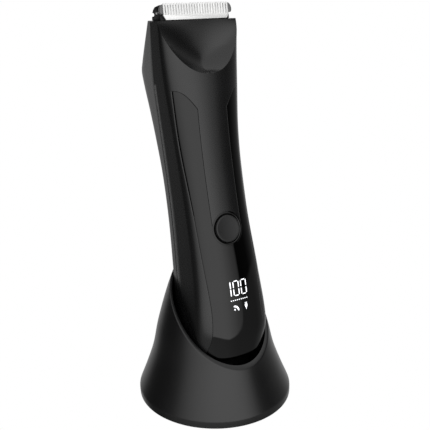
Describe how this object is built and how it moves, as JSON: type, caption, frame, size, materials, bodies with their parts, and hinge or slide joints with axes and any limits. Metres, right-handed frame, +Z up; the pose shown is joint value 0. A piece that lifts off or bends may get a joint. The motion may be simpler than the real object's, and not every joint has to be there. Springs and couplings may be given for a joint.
{
  "type": "body groomer",
  "caption": "Cordless body groomer leaning back in a round flared charging dock, with a U-shaped glossy display panel, a round power button and a toothed trimmer blade on top.",
  "frame": {"origin": "Centre of the underside of the dock's rubber pad, on the table.", "axes": "+Z up from the table, +X to the right seen from the display side, -Y towards the display side; the groomer leans back towards +Y by 11 degrees."},
  "size_m": [0.0704, 0.0761, 0.1751],
  "materials": {
    "satin_black": "satin",
    "gloss_black": "polished",
    "soft_black": "matte",
    "button_black": "satin",
    "display_white": "satin",
    "inner_grey": "matte",
    "nylon": "satin",
    "board_green": "satin",
    "cell_wrap": "satin",
    "blade_steel": "brushed",
    "guard_grey": "satin",
    "bright_steel": "satin",
    "cast_weight": "matte",
    "gold_plate": "polished",
    "rubber_black": "matte",
    "seal_red": "matte"
  },
  "bodies": {
    "dock": {"dock_shell": "satin_black", "seat_cup": "soft_black", "base_plate": "soft_black", "base_pad": "rubber_black", "ballast_weight": "cast_weight", "dock_board": "board_green", "usb_socket": "bright_steel", "pogo_barrels": "gold_plate", "dock_screws": "bright_steel"},
    "groomer": {"front_cover": "satin_black", "front_panel": "gloss_black", "rear_cover": "satin_black", "bottom_cap": "soft_black", "head_plate": "soft_black", "button_ring": "button_black", "button_seal": "rubber_black", "display_module": "inner_grey", "display_segments": "display_white", "main_board": "board_green", "board_screws": "bright_steel", "tact_switch": "inner_grey", "inner_chassis": "inner_grey", "battery": "cell_wrap", "battery_tabs": "bright_steel", "motor_can": "bright_steel", "motor_mount": "inner_grey", "motor_screws": "bright_steel", "shaft_seal": "seal_red", "charging_contacts": "gold_plate"},
    "button": {"power_button": "button_black", "switch_plunger": "seal_red"},
    "rotor": {"motor_shaft": "bright_steel", "eccentric_cam": "nylon"},
    "cartridge": {"blade_bracket": "soft_black", "comb_blade": "blade_steel", "blade_guards": "guard_grey", "blade_screws": "bright_steel", "blade_spring": "bright_steel"},
    "cutter": {"cutter_blade": "blade_steel", "drive_yoke": "nylon"},
    "pogo_left": {"pogo_pin_left": "gold_plate", "pogo_spring_left": "bright_steel"},
    "pogo_right": {"pogo_pin_right": "gold_plate", "pogo_spring_right": "bright_steel"}
  },
  "joints": [
    {"name": "groomer_lift", "type": "slide", "parent": "dock", "child": "groomer", "axis": [0, 0.1908, 0.9816], "range_m": [0, 0.07]},
    {"name": "power_button_press", "type": "slide", "parent": "groomer", "child": "button", "axis": [0, -0.9538, 0.3004], "range_m": [-0.0006, 0], "stiffness_N_per_m": 250, "springref_m": 0.0004},
    {"name": "motor_spin", "type": "hinge", "parent": "groomer", "child": "rotor", "pos_m": [0, 0.01267, 0.12039], "axis": [0, 0.1908, 0.9816], "continuous": true},
    {"name": "blade_release", "type": "slide", "parent": "groomer", "child": "cartridge", "axis": [0, 0.1908, 0.9816], "range_m": [0, 0.022]},
    {"name": "cutter_stroke", "type": "slide", "parent": "cartridge", "child": "cutter", "axis": [1, 0, 0], "range_m": [-0.001, 0.001]},
    {"name": "pogo_left_press", "type": "slide", "parent": "dock", "child": "pogo_left", "axis": [0, 0.1908, 0.9816], "range_m": [-0.0012, 0], "stiffness_N_per_m": 150, "springref_m": 0.001, "deforming": ["pogo_spring_left"]},
    {"name": "pogo_right_press", "type": "slide", "parent": "dock", "child": "pogo_right", "axis": [0, 0.1908, 0.9816], "range_m": [-0.0012, 0], "stiffness_N_per_m": 150, "springref_m": 0.001, "deforming": ["pogo_spring_right"]}
  ]
}
